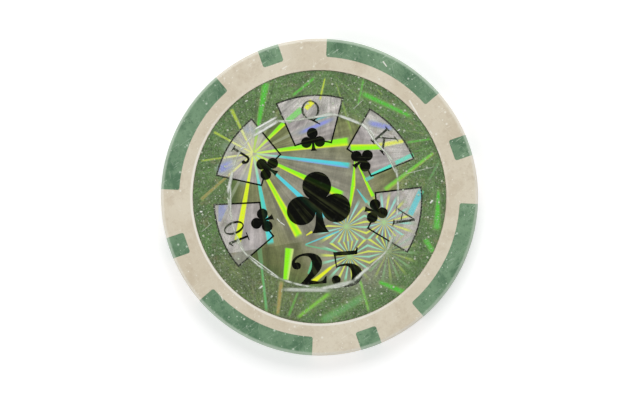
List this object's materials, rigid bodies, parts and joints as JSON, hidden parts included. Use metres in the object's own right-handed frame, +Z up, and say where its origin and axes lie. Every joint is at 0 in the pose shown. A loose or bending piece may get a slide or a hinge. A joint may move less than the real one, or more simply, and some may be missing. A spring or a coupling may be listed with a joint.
{
  "type": "poker chip",
  "caption": "Round two-colour moulded casino chip with edge spots, a hidden steel weight and a foil label seated in each face.",
  "frame": {"origin": "centre of the lower rim face, on the surface that the chip lies on", "axes": "+Z up through the thickness, +Y towards the top of the upper label as the picture shows it, +X to the right of it"},
  "size_m": [0.04, 0.04, 0.0033],
  "materials": {
    "cream_plastic": "satin moulded ABS, cream",
    "green_plastic": "satin moulded ABS, green",
    "steel": "stamped steel, plain",
    "adhesive": "clear pressure-sensitive adhesive",
    "foil": "metallised diffraction foil with starbursts",
    "green_ink": "transparent green ink over foil",
    "black_ink": "black printing ink",
    "clear_film": "clear gloss film, hazy where it has lifted"
  },
  "bodies": {
    "root": {"chip_body": "cream_plastic", "weight_slug": "steel", "long_edge_spot_1": "green_plastic", "long_edge_spot_2": "green_plastic", "long_edge_spot_3": "green_plastic", "long_edge_spot_4": "green_plastic", "short_edge_spot_1": "green_plastic", "short_edge_spot_2": "green_plastic", "short_edge_spot_3": "green_plastic", "short_edge_spot_4": "green_plastic", "upper_label_adhesive": "adhesive", "upper_label_foil": "foil", "upper_label_green_ink": "green_ink", "upper_label_black_ink": "black_ink", "upper_label_film": "clear_film", "lower_label_adhesive": "adhesive", "lower_label_foil": "foil", "lower_label_green_ink": "green_ink", "lower_label_black_ink": "black_ink", "lower_label_film": "clear_film"}
  },
  "joints": []
}
